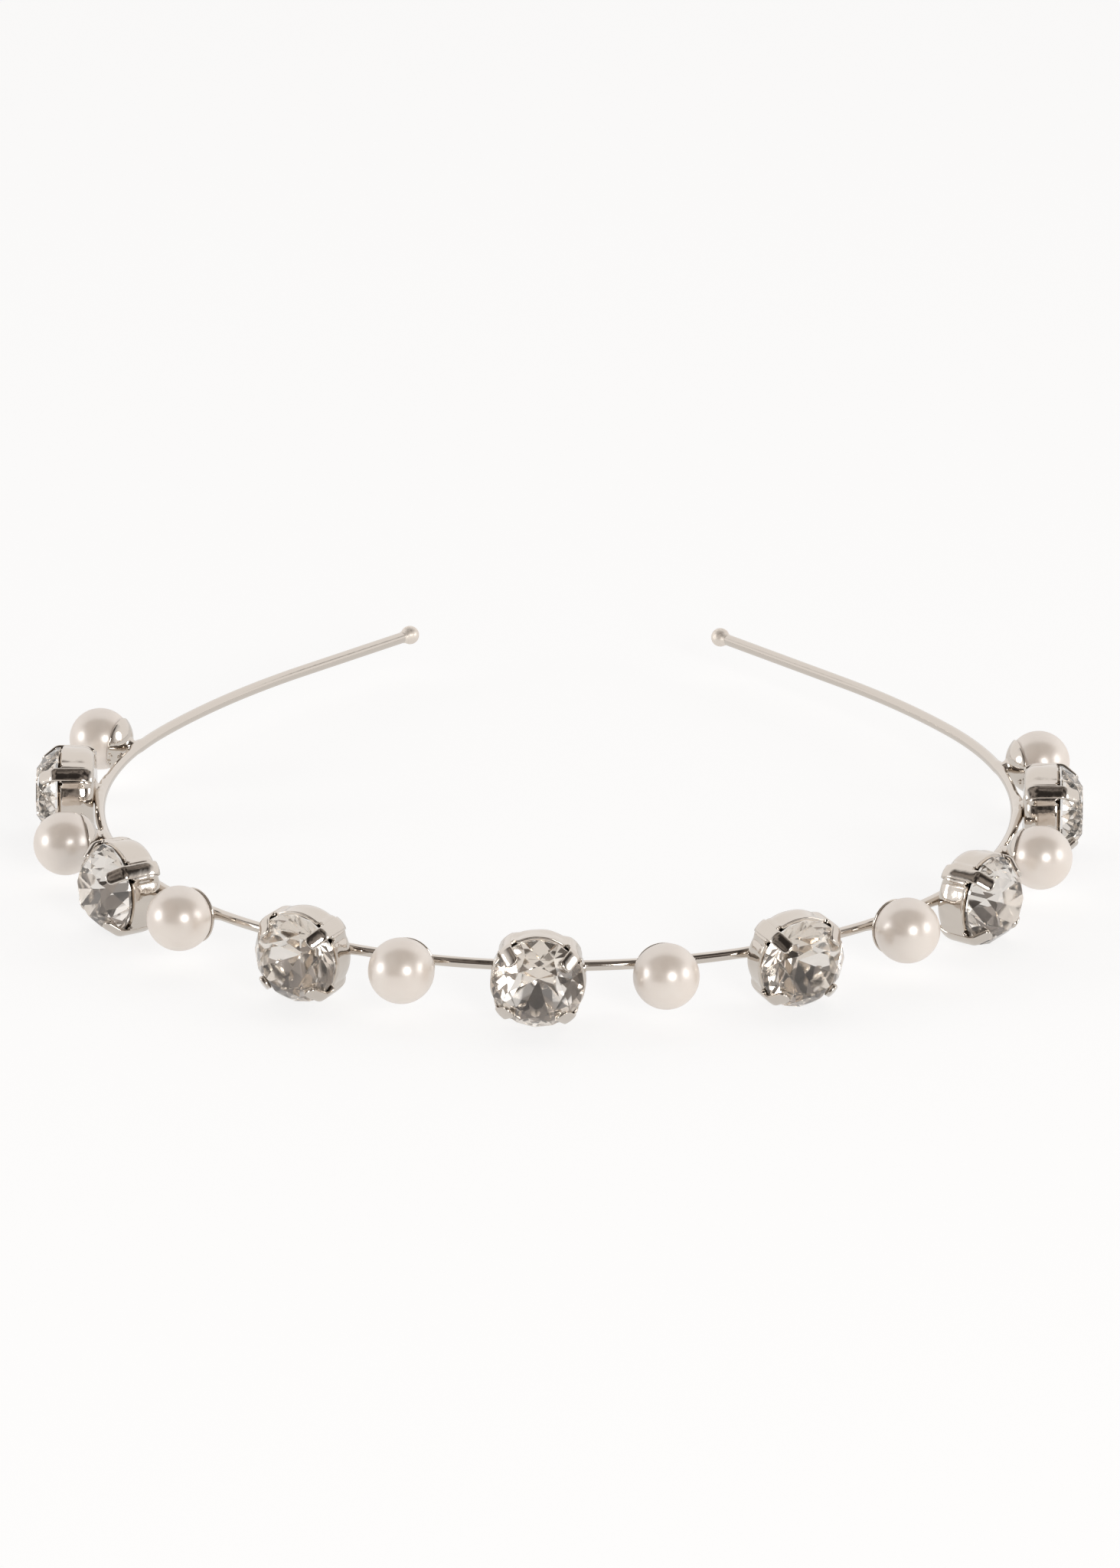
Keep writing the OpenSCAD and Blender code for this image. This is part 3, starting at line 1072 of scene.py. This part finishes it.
print("the table is", 2 * FLOOR_HALF, "m wide")

# %% [markdown]
# ## The camera
#
# The picture was taken with a long lens from about a metre away, a good twenty degrees
# above the table and slightly to the right of the front. A camera could be set by eye, but
# these values were fitted to the pearls, the cups and the tips as the picture shows them.

# %% The camera
CAMERA_AZIMUTH = 2.45
CAMERA_ELEVATION = 20.7
CAMERA_DISTANCE = 950
AIM_BEHIND_WIRE = 61.8
SENSOR_LONG_SIDE = 36
FOCAL_LENGTH = 170.5
NEAR_CLIP, FAR_CLIP = 0.05, 20


def direction(azimuth, elevation):
    """A unit vector towards an azimuth and elevation in degrees; azimuth 0 is the front."""
    a, e = math.radians(azimuth), math.radians(elevation)
    return Vector((math.sin(a) * math.cos(e), -math.cos(a) * math.cos(e), math.sin(e)))


lens = bpy.data.cameras.new("camera")
lens.sensor_width = SENSOR_LONG_SIDE
lens.lens = FOCAL_LENGTH
lens.clip_start = NEAR_CLIP
lens.clip_end = FAR_CLIP
camera = bpy.data.objects.new("camera", lens)
bpy.context.scene.collection.objects.link(camera)
aim = Vector((0, AIM_BEHIND_WIRE - wire_front, WIRE_Z))
sight = direction(CAMERA_AZIMUTH, CAMERA_ELEVATION)
camera.location = (aim + sight * CAMERA_DISTANCE) * MM
camera.rotation_mode = "QUATERNION"
camera.rotation_quaternion = (-sight).to_track_quat("-Z", "Y")
bpy.context.scene.camera = camera
print("camera at", [round(v, 3) for v in camera.location])

# %% [markdown]
# ## The light
#
# Polished metal shows the room. The reflections in the picture tell what stood there: a dim
# warm room behind the camera, a bright white sweep behind and above the band, and three
# round softboxes. A photograph of a studio could wrap the world, but a few nodes that pick
# by direction are easier to tune. They find the dim part: toward the camera, not too far
# to the sides, and above the table. The softboxes are area lights.

# %% Which directions are dim
SOFT = {"interpolation_type": "SMOOTHSTEP"}
DIM_TOWARD = {**SOFT, "From Min": 0.3, "From Max": 0.08}
DIM_BETWEEN = {**SOFT, "From Min": 0.92, "From Max": 0.68}
TURNED_BACK = {"rotation_type": "Z_AXIS", "Angle": math.radians(-CAMERA_AZIMUTH)}
world = bpy.data.worlds.new("studio")
bpy.context.scene.world = world
world.use_nodes = True
tree = world.node_tree
tree.nodes.clear()
sky = add(tree, "ShaderNodeTexCoord").outputs["Generated"]
from_camera = add(tree, "ShaderNodeVectorRotate", TURNED_BACK, Vector=sky).outputs[0]
axes = add(tree, "ShaderNodeSeparateXYZ", Vector=from_camera)
toward = add(tree, "ShaderNodeMapRange", DIM_TOWARD, Value=axes.outputs["Y"])
sideways = add(tree, "ShaderNodeMath", {"operation": "ABSOLUTE"}, _0=axes.outputs["X"])
narrow = add(tree, "ShaderNodeMapRange", DIM_BETWEEN, Value=sideways.outputs[0])
above = add(tree, "ShaderNodeMath", {"operation": "GREATER_THAN", 1: 0.0}, _0=axes.outputs["Z"])
camera_ray = add(tree, "ShaderNodeLightPath").outputs["Is Camera Ray"]
unseen = add(tree, "ShaderNodeMath", {"operation": "SUBTRACT", 0: 1.0}, _1=camera_ray)
dim = toward
for factor in (narrow, above, unseen):
    dim = add(tree, "ShaderNodeMath", {"operation": "MULTIPLY"}, _0=dim.outputs[0], _1=factor.outputs[0])
print("the dim part is found by", len(tree.nodes), "nodes")

# %% [markdown]
# The dim part is not even, because a real room has lighter and darker things in it. Those
# patches give the facets and the pearls their liveliness. Noise stands for them, because
# the picture doesn't show what they were.

# %% The room and the sweep
ROOM_DARK = "#35312F"
ROOM_LIGHT = "#9E9690"
SWEEP_WHITE = "#FFFDFC"
PATCHES = {"Scale": 3.2, "Detail": 2.5, "Roughness": 0.55}
PATCH_EDGES = {**SOFT, "From Min": 0.38, "From Max": 0.68}
patches = add(tree, "ShaderNodeTexNoise", PATCHES, Vector=from_camera)
lit = add(tree, "ShaderNodeMapRange", PATCH_EDGES, Value=patches.outputs[0])
room = add(
    tree,
    "ShaderNodeMix",
    {"data_type": "RGBA", 6: linear(ROOM_DARK), 7: linear(ROOM_LIGHT)},
    Factor=lit.outputs[0],
)
whole = add(
    tree,
    "ShaderNodeMix",
    {"data_type": "RGBA", 6: linear(SWEEP_WHITE)},
    Factor=dim.outputs[0],
    _7=room.outputs[2],
)
light = add(tree, "ShaderNodeBackground", {"Strength": 1.0}, Color=whole.outputs[2])
add(tree, "ShaderNodeOutputWorld", Surface=light.outputs[0])
print("the world has", len(tree.nodes), "nodes")

# %% The three softboxes
# Azimuth from the camera's and elevation in degrees, width in metres, and radiance
SOFTBOXES = {
    "softbox_left": (-79, 12, 0.5, 6),
    "softbox_front": (21, 20, 0.46, 12),
    "softbox_right": (74, 15, 0.6, 3),
}
SOFTBOX_DISTANCE = 1.4
SOFTBOX_WHITE = "#FFFDFA"
for name, (azimuth, elevation, width, radiance) in SOFTBOXES.items():
    lamp = bpy.data.lights.new(name, "AREA")
    lamp.shape = "DISK"
    lamp.size = width
    lamp.color = linear(SOFTBOX_WHITE)[:3]
    lamp.energy = radiance * math.pi * math.pi * (width / 2) ** 2
    stand = bpy.data.objects.new(name, lamp)
    bpy.context.scene.collection.objects.link(stand)
    away = direction(CAMERA_AZIMUTH + azimuth, elevation)
    stand.location = away * SOFTBOX_DISTANCE
    stand.rotation_mode = "QUATERNION"
    stand.rotation_quaternion = away.to_track_quat("Z", "Y")
print("softboxes:", len(SOFTBOXES))

# %% [markdown]
# Light that enters a foiled stone is thrown from facet to facet many times before it
# leaves. If it were given up after the usual four mirror bounces, the stones seen from the
# side would turn black, so more bounces are allowed. The plain view transform keeps the
# white of the table and the greys of the metal as they were measured in the picture.

# %% Bounces and tones
BOUNCES = 10
studio = bpy.context.scene
studio.cycles.max_bounces = BOUNCES
studio.cycles.glossy_bounces = BOUNCES
studio.cycles.transmission_bounces = BOUNCES
studio.view_settings.view_transform = "Standard"
studio.view_settings.look = "None"
print("light may bounce", BOUNCES, "times")
